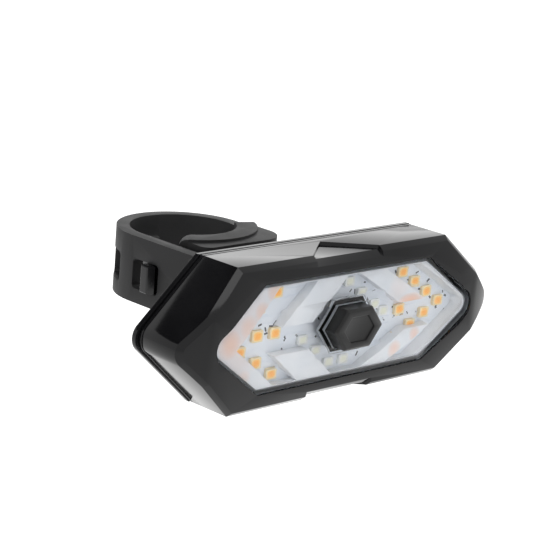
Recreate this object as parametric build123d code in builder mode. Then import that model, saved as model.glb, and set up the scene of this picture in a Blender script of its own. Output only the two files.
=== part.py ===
from build123d import *
from math import asin, cos, radians, sin, tan
import os

# Bicycle turn signal light on a rubber strap, in millimetres.
# The row frame stands on the axis of the post that the strap holds: +Z up along the post,
# the light faces -Y, and Z zero is the clamp's middle height.

# Post and strap
post_radius = 12.7
post_to_window = 57.2
strap_thickness = 3.2
strap_height = 16.4
light_drop = 1.4
strap_slack = 0.95
strap_cut = 1.2
tongue_end = 27.0
tongue_corner = 5.0
slot_length = 9.4
slot_height = 7.4
slot_drop = 0.95
slot_web = 4.8
slot_corner = 1.0
slot_front = 10.4
band_slots = 2
strap_root_angle = -62.0
strap_tongue_angle = 90.0
strap_gap = 0.2
saddle_depth = 8.1
saddle_height = 19.2
saddle_left = 11.2
saddle_right = 15.6
saddle_ring = 5.2
saddle_step = 0.6
saddle_end_angle = -24.0
saddle_lobe_angle = 45.0
saddle_lobe = 0.5
saddle_lobe_rounding = 3.0
saddle_rounding_left = 2.5
saddle_rounding_right = 7.0

# Light housing
shell_half_flat = 33.5
shell_half_height = 16.9
shell_half_point = 51.6
shell_tip_radius = 4.0
shell_wall = 2.0
shell_depth = 13.9
front_chamfer = 1.1
front_slope_share = 0.24
keel_half_height = 4.9
tip_bend_length = 14.6
tip_bend_radius = 29.0
bezel_back = 2.4
bead_depth = 12.9
bead_width = 0.25
bead_cut = 0.2
bezel_flat = 6.9
bezel_height = 4.3
bezel_point = 7.8
window_tip_radius = 3.9
window_corner_radius = 0.8
recess_half_width = 10.6
recess_depth = 0.9
recess_shoulder = 2.4
recess_apex = 10.8
recess_chamfer = 1.4
boss_radius = 2.0
boss_inset_x = 0.5
boss_inset_z = 3.9
boss_gap = 0.3

# Lens and seals
fit_gap = 0.1
lens_crown = 1.0
lens_dome_sag = 1.3
lens_skin = 1.0
lens_wall = 0.9
lens_flange = 1.8
lens_flange_thickness = 0.9
lens_collar = 1.2
lens_collar_back = 0.7
lens_seal_thickness = 0.3
gasket_thickness = 0.3
gasket_inset = 0.45

# Rear cover
rim_step_flat = 0.35
rim_step_height = 0.05
rim_step_point = 0.8
rim_tip_radius = 3.8
rim_thickness = 1.2
bulge_inset = 2.0
bulge_depth = 5.6
bulge_lean = 50.0
cover_wall = 1.8
cover_wall_side = 2.4
cover_pillar_radius = 2.6
cover_lip = 1.5
cover_lip_wall = 1.2
cover_lip_gap = 0.15

# Circuit board and what stands on it
board_thickness = 1.2
board_gap = 0.4
led_width = 3.2
led_height = 2.6
led_thickness = 0.75
led_gap = 0.15
clear_led_width = 3.0
clear_led_height = 2.3
led_rows = 3
left_tip_shares = (0.922, 0.018)
left_step_shares = (0.13, 0.277)
right_tip_shares = (0.875, 0.054)
right_up_shares = (0.116, 0.254)
right_down_shares = (0.12, 0.214)
shaft_led_share = 0.526
shaft_led_step_share = 0.138
clear_rows = 3
clear_first_shares = (0.0625, 0.812)
clear_step_shares = (0.117, 0.286)
clear_end_shares = (0.38, 0.054)
resistor_length = 2.0
resistor_width = 1.2
resistor_thickness = 0.5
resistor_row_x = 19.0
resistor_inset = 5.4
resistor_step = 4.6
resistor_count = 5
switch_size = 6.0
switch_thickness = 0.9
plunger_radius = 1.1
plunger_height = 0.55
plunger_seat = 0.35
running_gap = 0.08
plunger_gap = 0.05
chip_length = 10.0
chip_width = 4.0
chip_thickness = 1.6
chip_x = 8.0
chip_z = 4.5
chip_pin_pitch = 1.27
chip_pin_width = 0.45
chip_pin_reach = 1.0
chip_pin_thickness = 0.25
chip_pins = 7
radio_width = 11.0
radio_height = 9.0
radio_thickness = 1.0
radio_can = 5.0
radio_can_thickness = 1.0
radio_gap = 1.5
radio_z = 2.0
buzzer_radius = 4.8
buzzer_thickness = 4.5
buzzer_hole_radius = 0.9
buzzer_gap = 2.7
battery_length = 40.0
battery_height = 20.0
battery_thickness = 6.0
battery_rounding = 1.5
battery_gap = 2.55
pad_thickness = 2.0
pad_length = 16.0
pad_height = 16.0
pad_margin = 3.0
lead_radius = 0.5
lead_spread = 1.6
lead_reach = 7.0
lead_z = 6.0
lead_bend = 1.0
board_screw_share = 0.63
board_screw_radius = 0.7
board_screw_head = 1.4
board_screw_head_thickness = 0.9
board_screw_bite = 3.2
board_boss_radius = 1.9

# Reflector: an outer frame and four raised blocks that leave two arrow openings
reflector_gap = 0.25
reflector_side_gap = 0.15
pocket_inset_flat = 5.3
pocket_inset_height = 1.4
pocket_inset_point = 5.4
pocket_tip_radius = 2.0
pocket_left_shares = (0.885, -0.107)
pocket_right_flat = 1.6
pocket_right_point = 2.2
pocket_flare_flat = 2.2
pocket_flare_point = 0.3
block_start_shares = ((-0.529, 0.179), (-0.573, -0.384), (0.461, 0.232), (0.529, -0.366))
block_length_shares = (0.25, 0.279, 0.224, 0.224)
block_leans = (40.8, -40.3, -32.1, 27.0)
block_top = 0.8

# Push button
button_half_width = 7.8
button_half_flat = 4.05
button_half_height = 4.8
button_front = 4.1
button_gap = 0.3
button_flange = 0.5
button_flange_thickness = 0.7
button_chamfer = 0.5
button_dish_share = 0.62
button_dish_depth = 0.5
button_stem_radius = 1.8
button_hollow = 1.2
button_travel = 0.35
button_seal_width = 0.8
button_seal_thickness = 0.2
button_rest_gap = 0.1

# Charging socket and its rubber plug, in the underside
socket_width = 8.9
socket_thickness = 3.2
socket_length = 7.3
socket_wall = 0.35
socket_tongue_thickness = 0.7
socket_tongue_width = 6.0
socket_inset = 9.0
socket_mouth_gap = 0.3
port_gap = 0.35
plug_margin_x = 2.3
plug_margin_y = 1.6
plug_plate = 1.1
plug_boss = 0.8
plug_gap = 0.3
plug_tab = 2.2
plug_rounding = 0.8

# Fasteners
cover_screw_radius = 1.0
cover_screw_length = 9.0
cover_screw_head = 1.9
cover_screw_head_thickness = 1.0
cover_screw_floor = 0.9
cover_screw_sleeve = 0.8
cover_screw_sleeve_back = 0.1
screw_bore_gap = 0.05
screw_pass_gap = 0.25
cross_width = 0.5
cross_share = 1.3
cross_depth = 0.6
bracket_screw_radius = 1.2
bracket_screw_head = 2.0
bracket_screw_head_thickness = 1.3
bracket_screw_bite = 4.5
bracket_screw_x = 12.4

# Bracket and hook
bracket_plate_width = 31.0
bracket_plate_height = 14.0
bracket_plate_thickness = 2.6
bracket_plate_rounding = 3.0
neck_half_width = 9.0
neck_height = 13.0
neck_rounding = 1.5
tenon_width = 12.0
tenon_height = 9.0
tenon_length = 4.0
arm_gap = 0.3
arm_thickness = 1.75
arm_root = 4.4
arm_height = 13.0
arm_post_gap = 0.2
hook_front = 9.6
hook_lip = 1.0
hook_stem = 2.6
hook_head = 2.5
hook_lip_thickness = 1.6
hook_reach = 0.3
hook_height = 6.9
hook_rounding = 0.5

overrun = 4.0

# Worked out from the sizes above
window_half_flat = shell_half_flat - bezel_flat
window_half_height = shell_half_height - bezel_height
window_half_point = shell_half_point - bezel_point
tip_bend_start = shell_half_point - tip_bend_length
lens_dome_radius = (window_half_height**2 + lens_dome_sag**2) / (2 * lens_dome_sag)
crown = -front_slope_share * (window_half_height - keel_half_height)
strap_inner = post_radius + strap_slack
strap_outer = strap_inner + strap_thickness
saddle_ring_outer = post_radius + saddle_ring
saddle_front = post_radius + saddle_depth
flange_front = bezel_back + lens_seal_thickness
board_front = flange_front + lens_flange_thickness
board_back = board_front + board_thickness
led_front = board_front - led_thickness
rim_front = shell_depth + gasket_thickness
rim_back = rim_front + rim_thickness
cover_back = rim_back + bulge_depth
cover_inside = cover_back - cover_wall
bracket_back = cover_back + bracket_plate_thickness
screw_seat = rim_front + cover_screw_floor
sleeve_back = screw_seat + cover_screw_head_thickness + cover_screw_sleeve_back
switch_front = board_front - switch_thickness
plunger_front = switch_front - plunger_height
battery_front = board_back + pad_thickness
button_flange_front = lens_collar_back + button_seal_thickness + button_rest_gap
hook_back = hook_front - hook_lip - hook_stem
boss_x = shell_half_flat - boss_inset_x
boss_z = shell_half_height - boss_inset_z
board_screw_x = shell_half_flat + board_screw_share * (shell_half_point - shell_half_flat)
pocket_half_flat = window_half_flat - pocket_inset_flat
pocket_half_height = window_half_height - pocket_inset_height
pocket_half_point = window_half_point - pocket_inset_point
socket_x = boss_x - socket_inset
battery_end = socket_x - socket_width / 2 - battery_gap
battery_x = battery_end - battery_length / 2
pad_x = battery_end - battery_length + pad_margin + pad_length / 2
buzzer_x = battery_end - battery_length - buzzer_gap - buzzer_radius
lead_x = battery_end + lead_reach
radio_x = lead_x + lead_radius + radio_gap + radio_width / 2
resistor_row_z = shell_half_height - resistor_inset
far = 2 * (post_to_window + shell_half_point)


def row_y(depth):
    """Y of a depth behind the window's upper edge."""
    return depth - post_to_window


def at_depth(depth):
    """Plane across the light at a depth; a negative extrude runs towards the post."""
    return Plane((0, row_y(depth), -light_drop), x_dir=(1, 0, 0), z_dir=(0, -1, 0))


def level(height):
    """Plane seen from above, at a height over the light's middle."""
    return Plane.XY.offset(height - light_drop)


def long_hexagon(half_flat, half_height, half_point, tip_radius, corner_radius):
    """Hexagon with flat top and bottom and a rounded point at each side."""
    with BuildSketch() as outline:
        with BuildLine():
            Polyline(
                (half_flat, half_height),
                (half_point, 0),
                (half_flat, -half_height),
                (-half_flat, -half_height),
                (-half_point, 0),
                (-half_flat, half_height),
                close=True,
            )
        make_face()
        if corner_radius > 0:
            top = outline.vertices().group_by(Axis.Y)[-1]
            bottom = outline.vertices().group_by(Axis.Y)[0]
            fillet(top + bottom, corner_radius)
        if tip_radius > 0:
            tips = outline.vertices().group_by(Axis.X)[0] + outline.vertices().group_by(Axis.X)[-1]
            fillet(tips, tip_radius)
    return outline.sketch


def grown(face, amount):
    """The same outline moved outwards by amount, or inwards when it is negative."""
    with BuildSketch() as outline:
        add(face)
        offset(amount=amount, kind=Kind.INTERSECTION, mode=Mode.REPLACE)
    return outline.sketch


def side_profile():
    """What lies behind the front seen from the side: a keel with two faces that lean back."""
    edge_z = shell_half_height + overrun
    edge = row_y(front_slope_share * (edge_z - window_half_height))
    back = row_y(cover_back)
    with BuildSketch(Plane((0, 0, -light_drop), x_dir=(0, 1, 0), z_dir=(1, 0, 0))) as profile:
        with BuildLine():
            Polyline(
                (row_y(crown), keel_half_height),
                (edge, edge_z),
                (back, edge_z),
                (back, -edge_z),
                (edge, -edge_z),
                (row_y(crown), -keel_half_height),
                close=True,
            )
        make_face()
    return profile.sketch


def recess_slope(side):
    """What the recess's own chamfer takes from the front, seen from the side."""
    floor_z = shell_half_height - recess_depth
    low_z = floor_z - recess_chamfer
    low = row_y(front_slope_share * (low_z - window_half_height))
    high = row_y(front_slope_share * (floor_z - window_half_height) + recess_chamfer)
    front = row_y(crown - overrun)
    with BuildSketch(Plane((0, 0, -light_drop), x_dir=(0, 1, 0), z_dir=(1, 0, 0))) as profile:
        with BuildLine():
            Polyline(
                (low, side * low_z),
                (high, side * floor_z),
                (high, side * (floor_z + overrun)),
                (front, side * (floor_z + overrun)),
                (front, side * low_z),
                close=True,
            )
        make_face()
    return profile.sketch


def plan_profile():
    """What lies behind the front seen from above: straight with both ends bent back."""
    reach = shell_half_point + overrun / 4 - tip_bend_start
    end_angle = asin(reach / tip_bend_radius)
    back = row_y(cover_back)
    points = []
    for angle in (0, end_angle / 2, end_angle):
        x = tip_bend_start + tip_bend_radius * sin(angle)
        points.append((x, row_y(crown) + tip_bend_radius * (1 - cos(angle))))
    mirrored = [(-x, y) for x, y in points]
    with BuildSketch() as profile:
        with BuildLine():
            Line(mirrored[0], points[0])
            ThreePointArc(points[0], points[1], points[2])
            Polyline(points[2], (points[2][0], back), (mirrored[2][0], back), mirrored[2])
            ThreePointArc(mirrored[2], mirrored[1], mirrored[0])
        make_face()
    return profile.sketch


def ring_sector(inner, outer, start, end):
    """Part of a ring round the post, seen from above, between two angles from +X."""
    with BuildSketch() as sector:
        with BuildLine():
            long_arc = CenterArc((0, 0), outer, start, end - start)
            short_arc = CenterArc((0, 0), inner, start, end - start)
            Line(long_arc @ 0, short_arc @ 0)
            Line(long_arc @ 1, short_arc @ 1)
        make_face()
    return sector.sketch


def in_pocket(shares):
    """Place on the board given in shares of the reflector pocket's half width and half height."""
    return pocket_half_point * shares[0], pocket_half_height * shares[1]


def pocket_outline(flare_flat, flare_point):
    """Reflector's opening: its left end is narrower, and its right end can flare outwards."""
    right = pocket_half_flat + pocket_right_flat + flare_flat
    with BuildSketch() as outline:
        with BuildLine():
            Polyline(
                (right, pocket_half_height),
                (pocket_half_point + pocket_right_point + flare_point, 0),
                (right, -pocket_half_height),
                (-pocket_half_flat, -pocket_half_height),
                (-pocket_half_point * pocket_left_shares[0], pocket_half_height * pocket_left_shares[1]),
                (-pocket_half_flat, pocket_half_height),
                close=True,
            )
        make_face()
        fillet(outline.vertices().sort_by(Axis.X)[-1], pocket_tip_radius)
    return outline.sketch


def save(builder, name):
    """Label a finished piece and write its file."""
    builder.part.label = name
    export_step(builder.part, f"parts/{name}.step")


os.makedirs("parts", exist_ok=True)

shell_outline = long_hexagon(
    shell_half_flat, shell_half_height, shell_half_point, shell_tip_radius, 0
)
rim_outline = long_hexagon(
    shell_half_flat + rim_step_flat,
    shell_half_height + rim_step_height,
    shell_half_point + rim_step_point,
    rim_tip_radius,
    0,
)
window_outline = long_hexagon(
    window_half_flat, window_half_height, window_half_point, window_tip_radius, window_corner_radius
)
button_outline = long_hexagon(button_half_flat, button_half_height, button_half_width, 0, 0)
cavity_outline = grown(shell_outline, -shell_wall)
boss_places = [(sx * boss_x, sz * boss_z) for sx in (-1, 1) for sz in (-1, 1)]
board_screw_places = [(-board_screw_x, 0), (board_screw_x, 0)]
bracket_screw_places = [(-bracket_screw_x, 0), (bracket_screw_x, 0)]
left_tip_x, left_tip_z = in_pocket(left_tip_shares)
left_step_x, left_step_z = in_pocket(left_step_shares)
right_tip_x, right_tip_z = in_pocket(right_tip_shares)
right_up_x, right_up_z = in_pocket(right_up_shares)
right_down_x, right_down_z = in_pocket(right_down_shares)
shaft_x = pocket_half_point * shaft_led_share
shaft_next_x = pocket_half_point * (shaft_led_share + shaft_led_step_share)
left_leds = [(-left_tip_x, left_tip_z), (-shaft_x, left_tip_z), (-shaft_next_x, left_tip_z)]
right_leds = [(right_tip_x, right_tip_z), (shaft_x, left_tip_z)]
for row in range(1, led_rows + 1):
    for side in (1, -1):
        left_leds.append((-left_tip_x + row * left_step_x, left_tip_z + side * row * left_step_z))
    right_leds.append((right_tip_x - row * right_up_x, right_tip_z + row * right_up_z))
    right_leds.append((right_tip_x - row * right_down_x, right_tip_z - row * right_down_z))
clear_first_x, clear_first_z = in_pocket(clear_first_shares)
clear_step_x, clear_step_z = in_pocket(clear_step_shares)
clear_leds = [in_pocket(clear_end_shares), (clear_first_x, -clear_first_z)]
for row in range(clear_rows):
    for side in (1, -1):
        x = clear_first_x + row * clear_step_x
        z = clear_first_z - row * clear_step_z
        clear_leds.append((side * x, side * z))
port_y = row_y(board_back + socket_thickness / 2)
port_width = socket_width + 2 * port_gap
port_depth = socket_thickness + 2 * port_gap
plug_width = socket_width + 2 * plug_margin_x
plug_depth = socket_thickness + 2 * plug_margin_y

# Front shell: one glossy moulding with the bezel, the side walls and the screw bosses
with BuildPart() as front_shell:
    with BuildSketch(at_depth(crown)):
        add(shell_outline)
    extrude(amount=-(shell_depth - crown))
    extrude(side_profile(), amount=far, both=True, mode=Mode.INTERSECT)
    extrude(plan_profile(), amount=far, both=True, mode=Mode.INTERSECT)
    front_faces = [f for f in front_shell.faces() if f.normal_at().Y < -front_slope_share]
    front_faces = [f for f in front_faces if f.bounding_box().max.Y < row_y(shell_depth / 2)]
    front_edges = [e for f in front_faces for e in f.edges()]
    rim = [e for e in front_edges if len([o for o in front_edges if o.is_same(e)]) == 1]
    chamfer(rim, front_chamfer)
    for side in (1, -1):
        with BuildSketch(level(side * (shell_half_height - recess_depth))):
            with BuildLine():
                Polyline(
                    (-recess_half_width, row_y(crown - overrun)),
                    (recess_half_width, row_y(crown - overrun)),
                    (recess_half_width, row_y(recess_shoulder)),
                    (0, row_y(recess_apex)),
                    (-recess_half_width, row_y(recess_shoulder)),
                    close=True,
                )
            make_face()
        extrude(amount=side * (recess_depth + overrun), mode=Mode.SUBTRACT)
        extrude(recess_slope(side), amount=recess_half_width, both=True, mode=Mode.SUBTRACT)
    with BuildSketch(at_depth(bezel_back)):
        add(cavity_outline)
    extrude(amount=-(shell_depth - bezel_back + overrun), mode=Mode.SUBTRACT)
    with BuildSketch(at_depth(crown - overrun)):
        add(window_outline)
    extrude(amount=-(bezel_back - crown + 2 * overrun), mode=Mode.SUBTRACT)
    with BuildSketch(at_depth(bezel_back)):
        with Locations(*boss_places):
            Circle(boss_radius)
    extrude(amount=-(shell_depth - bezel_back))
    with BuildSketch(at_depth(bezel_back)):
        with Locations(*board_screw_places):
            Circle(board_boss_radius)
    extrude(amount=-(board_front - bezel_back))
    with BuildSketch(at_depth(shell_depth)):
        with Locations(*boss_places):
            Circle(cover_screw_radius + screw_bore_gap)
    extrude(amount=cover_screw_length, mode=Mode.SUBTRACT)
    with BuildSketch(at_depth(board_front)):
        with Locations(*board_screw_places):
            Circle(board_screw_radius + screw_bore_gap)
    extrude(amount=board_screw_bite - board_thickness + screw_bore_gap, mode=Mode.SUBTRACT)
    with BuildSketch(level(-shell_half_height - overrun)):
        with Locations((socket_x, port_y)):
            RectangleRounded(port_width, port_depth, port_depth / 2 - fit_gap)
    extrude(amount=shell_wall + 2 * overrun, mode=Mode.SUBTRACT)
    with BuildSketch(level(-shell_half_height - overrun)):
        with Locations((socket_x - plug_tab / 2, port_y)):
            RectangleRounded(plug_width + plug_tab + 2 * plug_gap, plug_depth + 2 * plug_gap, plug_rounding)
    extrude(amount=plug_plate + overrun, mode=Mode.SUBTRACT)
    with BuildSketch(at_depth(bead_depth)):
        add(grown(shell_outline, overrun))
        add(grown(shell_outline, -bead_cut), mode=Mode.SUBTRACT)
    extrude(amount=-bead_width, mode=Mode.SUBTRACT)
save(front_shell, "front_shell")

# Soft gasket between the shell and the rear cover
with BuildPart() as cover_seal:
    with BuildSketch(at_depth(shell_depth)):
        add(grown(shell_outline, -gasket_inset))
        add(cavity_outline, mode=Mode.SUBTRACT)
        with Locations(*boss_places):
            Circle(boss_radius)
            Circle(cover_screw_radius + screw_pass_gap, mode=Mode.SUBTRACT)
    extrude(amount=-gasket_thickness)
save(cover_seal, "cover_seal")

# Rear cover: rim, leaning bulge, lip into the shell, screw sleeves and bracket pillars
with BuildPart() as rear_cover:
    with BuildSketch(at_depth(rim_front)):
        add(rim_outline)
    extrude(amount=-rim_thickness)
    with BuildSketch(at_depth(rim_back)):
        add(grown(rim_outline, -bulge_inset))
    extrude(amount=-bulge_depth, taper=bulge_lean)
    with BuildSketch(at_depth(rim_back)):
        add(grown(rim_outline, -bulge_inset - cover_wall_side))
    extrude(amount=-(cover_inside - rim_back), taper=bulge_lean, mode=Mode.SUBTRACT)
    with BuildSketch(at_depth(rim_back)):
        add(grown(rim_outline, -bulge_inset - cover_wall_side))
    extrude(amount=rim_thickness + overrun, mode=Mode.SUBTRACT)
    with BuildSketch(at_depth(rim_front)):
        add(grown(cavity_outline, -cover_lip_gap))
        add(grown(cavity_outline, -cover_lip_gap - cover_lip_wall), mode=Mode.SUBTRACT)
        with Locations(*boss_places):
            Circle(boss_radius + boss_gap, mode=Mode.SUBTRACT)
    extrude(amount=cover_lip + gasket_thickness)
    with BuildSketch(at_depth(rim_front)):
        with Locations(*boss_places):
            Circle(cover_screw_head + screw_pass_gap + cover_screw_sleeve)
    extrude(amount=-(sleeve_back - rim_front))
    with BuildSketch(at_depth(cover_inside)):
        with Locations(*bracket_screw_places):
            Circle(cover_pillar_radius)
    extrude(amount=bracket_screw_bite - cover_wall)
    with BuildSketch(at_depth(screw_seat)):
        with Locations(*boss_places):
            Circle(cover_screw_head + screw_pass_gap)
    extrude(amount=-bulge_depth, mode=Mode.SUBTRACT)
    with BuildSketch(at_depth(screw_seat)):
        with Locations(*boss_places):
            Circle(cover_screw_radius + screw_pass_gap)
    extrude(amount=cover_screw_floor + overrun, mode=Mode.SUBTRACT)
    with BuildSketch(at_depth(cover_back)):
        with Locations(*bracket_screw_places):
            Circle(bracket_screw_radius + screw_bore_gap)
    extrude(amount=bracket_screw_bite, mode=Mode.SUBTRACT)
save(rear_cover, "rear_cover")

# Clear lens: a domed skin with a thin side wall and a flange behind the bezel
with BuildPart() as lens:
    with BuildSketch(at_depth(-lens_crown)):
        add(grown(window_outline, -fit_gap))
    extrude(amount=-(flange_front + lens_crown))
    with BuildSketch(Plane((0, 0, -light_drop), x_dir=(0, 1, 0), z_dir=(1, 0, 0))):
        with Locations((row_y(lens_dome_radius - lens_crown), 0)):
            Circle(lens_dome_radius)
    extrude(amount=far, both=True, mode=Mode.INTERSECT)
    with BuildSketch(at_depth(flange_front)):
        add(grown(window_outline, lens_flange))
        with Locations(*boss_places):
            Circle(boss_radius + boss_gap, mode=Mode.SUBTRACT)
        with Locations(*board_screw_places):
            Circle(board_boss_radius + boss_gap, mode=Mode.SUBTRACT)
    extrude(amount=-lens_flange_thickness)
    with BuildSketch(at_depth(board_front)):
        add(grown(window_outline, -lens_wall - fit_gap))
    hollow = extrude(amount=board_front + lens_crown, mode=Mode.PRIVATE)
    with BuildSketch(Plane((0, 0, -light_drop), x_dir=(0, 1, 0), z_dir=(1, 0, 0))):
        with Locations((row_y(lens_dome_radius - lens_crown), 0)):
            Circle(lens_dome_radius - lens_skin)
    dome = extrude(amount=far, both=True, mode=Mode.PRIVATE)
    add(hollow & dome, mode=Mode.SUBTRACT)
    with BuildSketch(at_depth(lens_collar_back)):
        add(grown(button_outline, button_gap + lens_collar))
    extrude(amount=lens_collar_back)
    with BuildSketch(at_depth(board_front)):
        add(grown(button_outline, button_gap))
    extrude(amount=board_front + lens_crown + overrun, mode=Mode.SUBTRACT)
save(lens, "lens")

# Soft ring between the bezel and the lens flange
with BuildPart() as lens_seal:
    with BuildSketch(at_depth(bezel_back)):
        add(grown(window_outline, lens_flange))
        add(window_outline, mode=Mode.SUBTRACT)
        with Locations(*boss_places):
            Circle(boss_radius + boss_gap, mode=Mode.SUBTRACT)
        with Locations(*board_screw_places):
            Circle(board_boss_radius + boss_gap, mode=Mode.SUBTRACT)
    extrude(amount=-lens_seal_thickness)
save(lens_seal, "lens_seal")

# Milky reflector: a flared frame with four blocks that leave two arrow openings
with BuildPart() as reflector:
    with BuildSketch(at_depth(board_front)):
        add(grown(window_outline, -lens_wall - fit_gap - reflector_side_gap))
    extrude(amount=board_front)
    with BuildSketch(at_depth(board_front)):
        add(pocket_outline(0, 0))
    with BuildSketch(at_depth(0)):
        add(pocket_outline(pocket_flare_flat, pocket_flare_point))
    loft(mode=Mode.SUBTRACT)
    for start_shares, length_share, lean in zip(block_start_shares, block_length_shares, block_leans):
        corner_x, corner_z = in_pocket(start_shares)
        length = pocket_half_point * length_share
        frame_z = pocket_half_height + reflector_side_gap
        frame_z = frame_z if corner_z > 0 else -frame_z
        shift = (frame_z - corner_z) / tan(radians(lean))
        with BuildSketch(at_depth(board_front)):
            with BuildLine():
                Polyline(
                    (corner_x, corner_z),
                    (corner_x + length, corner_z),
                    (corner_x + length + shift, frame_z),
                    (corner_x + shift, frame_z),
                    close=True,
                )
            make_face()
        extrude(amount=board_front - block_top)
    with BuildSketch(Plane((0, 0, -light_drop), x_dir=(0, 1, 0), z_dir=(1, 0, 0))):
        with Locations((row_y(lens_dome_radius - lens_crown), 0)):
            Circle(lens_dome_radius - lens_skin - reflector_gap)
    extrude(amount=far, both=True, mode=Mode.INTERSECT)
    with BuildSketch(at_depth(board_front)):
        with Locations(*left_leds, *right_leds):
            Rectangle(led_width + 2 * led_gap, led_height + 2 * led_gap)
        with Locations(*clear_leds):
            Rectangle(clear_led_width + 2 * led_gap, clear_led_height + 2 * led_gap)
    extrude(amount=led_thickness + led_gap, mode=Mode.SUBTRACT)
save(reflector, "reflector")

# Circuit board and the parts soldered on its front
with BuildPart() as circuit_board:
    with BuildSketch(at_depth(board_front)):
        add(grown(cavity_outline, -board_gap))
        with Locations(*boss_places):
            Circle(boss_radius + board_gap, mode=Mode.SUBTRACT)
        with Locations(*board_screw_places):
            Circle(board_screw_radius + screw_pass_gap, mode=Mode.SUBTRACT)
    extrude(amount=-board_thickness)
save(circuit_board, "circuit_board")

with BuildPart() as amber_leds_left:
    with BuildSketch(at_depth(board_front)):
        with Locations(*left_leds):
            Rectangle(led_width, led_height)
    extrude(amount=led_thickness)
save(amber_leds_left, "amber_leds_left")

with BuildPart() as amber_leds_right:
    with BuildSketch(at_depth(board_front)):
        with Locations(*right_leds):
            Rectangle(led_width, led_height)
    extrude(amount=led_thickness)
save(amber_leds_right, "amber_leds_right")

with BuildPart() as white_leds:
    with BuildSketch(at_depth(board_front)):
        with Locations(*clear_leds):
            Rectangle(clear_led_width, clear_led_height)
    extrude(amount=led_thickness)
save(white_leds, "white_leds")

# Parts on the board's back
with BuildPart() as chip_resistors:
    with BuildSketch(at_depth(board_back)):
        with Locations(*[(n * resistor_step - resistor_row_x, resistor_row_z) for n in range(resistor_count)]):
            Rectangle(resistor_length, resistor_width)
    extrude(amount=-resistor_thickness)
save(chip_resistors, "chip_resistors")

with BuildPart() as control_chip:
    with BuildSketch(at_depth(board_back + chip_pin_thickness)):
        with Locations((chip_x, chip_z)):
            Rectangle(chip_length, chip_width)
    extrude(amount=-(chip_thickness - chip_pin_thickness))
    first_pin = chip_x - chip_pin_pitch * (chip_pins - 1) / 2
    with BuildSketch(at_depth(board_back)):
        with Locations(*[(first_pin + n * chip_pin_pitch, chip_z) for n in range(chip_pins)]):
            Rectangle(chip_pin_width, chip_width + 2 * chip_pin_reach)
    extrude(amount=-chip_pin_thickness)
save(control_chip, "control_chip")

with BuildPart() as radio_module:
    with BuildSketch(at_depth(board_back)):
        with Locations((radio_x, radio_z)):
            Rectangle(radio_width, radio_height)
    extrude(amount=-radio_thickness)
    with BuildSketch(at_depth(board_back + radio_thickness)):
        with Locations((radio_x, radio_z)):
            Rectangle(radio_can, radio_can)
    extrude(amount=-radio_can_thickness)
save(radio_module, "radio_module")

with BuildPart() as buzzer:
    with BuildSketch(at_depth(board_back)):
        with Locations((buzzer_x, 0)):
            Circle(buzzer_radius)
    extrude(amount=-buzzer_thickness)
    with BuildSketch(at_depth(board_back + buzzer_thickness)):
        with Locations((buzzer_x, 0)):
            Circle(buzzer_hole_radius)
    extrude(amount=buzzer_thickness / 2, mode=Mode.SUBTRACT)
save(buzzer, "buzzer")

with BuildPart() as battery_pad:
    with BuildSketch(at_depth(board_back)):
        with Locations((pad_x, 0)):
            Rectangle(pad_length, pad_height)
    extrude(amount=-pad_thickness)
save(battery_pad, "battery_pad")

with BuildPart() as battery:
    with BuildSketch(at_depth(battery_front)):
        with Locations((battery_x, 0)):
            Rectangle(battery_length, battery_height)
    extrude(amount=-battery_thickness)
    fillet(battery.edges().filter_by(Axis.Z), battery_rounding)
save(battery, "battery")

lead_depth = battery_front + battery_thickness / 2
with BuildPart() as battery_leads:
    for side in (1, -1):
        z = lead_z + side * lead_spread / 2 - light_drop
        with BuildLine() as route:
            FilletPolyline(
                (battery_end, row_y(lead_depth), z),
                (lead_x, row_y(lead_depth), z),
                (lead_x, row_y(board_back), z),
                radius=lead_bend,
            )
        with BuildSketch(Plane(route.line @ 0, z_dir=route.line % 0)):
            Circle(lead_radius)
        sweep(path=route.line)
save(battery_leads, "battery_leads")

# Charging socket with its opening facing down
with BuildPart() as charging_socket:
    mouth = -shell_half_height + shell_wall + socket_mouth_gap
    with BuildSketch(level(mouth)):
        with Locations((socket_x, port_y)):
            RectangleRounded(socket_width, socket_thickness, socket_thickness / 2 - fit_gap)
    extrude(amount=socket_length)
    with BuildSketch(level(mouth)):
        with Locations((socket_x, port_y)):
            RectangleRounded(
                socket_width - 2 * socket_wall,
                socket_thickness - 2 * socket_wall,
                socket_thickness / 2 - socket_wall - fit_gap,
            )
    extrude(amount=socket_length - socket_wall, mode=Mode.SUBTRACT)
    with BuildSketch(level(mouth + socket_wall)):
        with Locations((socket_x, port_y)):
            Rectangle(socket_tongue_width, socket_tongue_thickness)
    extrude(amount=socket_length - socket_wall)
save(charging_socket, "charging_socket")

# Rubber plug over the socket, and the tab that it bends from
plug_start = socket_x - plug_width / 2
with BuildPart() as charging_plug:
    with BuildSketch(level(-shell_half_height)):
        with Locations((socket_x, port_y)):
            Rectangle(plug_width, plug_depth)
    extrude(amount=plug_plate)
    fillet(charging_plug.edges().filter_by(Axis.Z).group_by(Axis.X)[-1], plug_rounding)
    with BuildSketch(level(-shell_half_height + plug_plate)):
        with Locations((socket_x, port_y)):
            Rectangle(socket_width - 2 * plug_gap, socket_thickness - 2 * plug_gap)
    extrude(amount=plug_boss)
    fillet(charging_plug.edges().filter_by(Axis.Z).group_by(Axis.X)[1:3], plug_rounding)
save(charging_plug, "charging_plug")

with BuildPart() as plug_hinge:
    with BuildSketch(level(-shell_half_height)):
        with Locations((plug_start - plug_tab / 2 - fit_gap, port_y)):
            Rectangle(plug_tab, plug_depth)
    extrude(amount=plug_plate)
    fillet(plug_hinge.edges().filter_by(Axis.Z).group_by(Axis.X)[0], plug_rounding)
save(plug_hinge, "plug_hinge")

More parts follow.
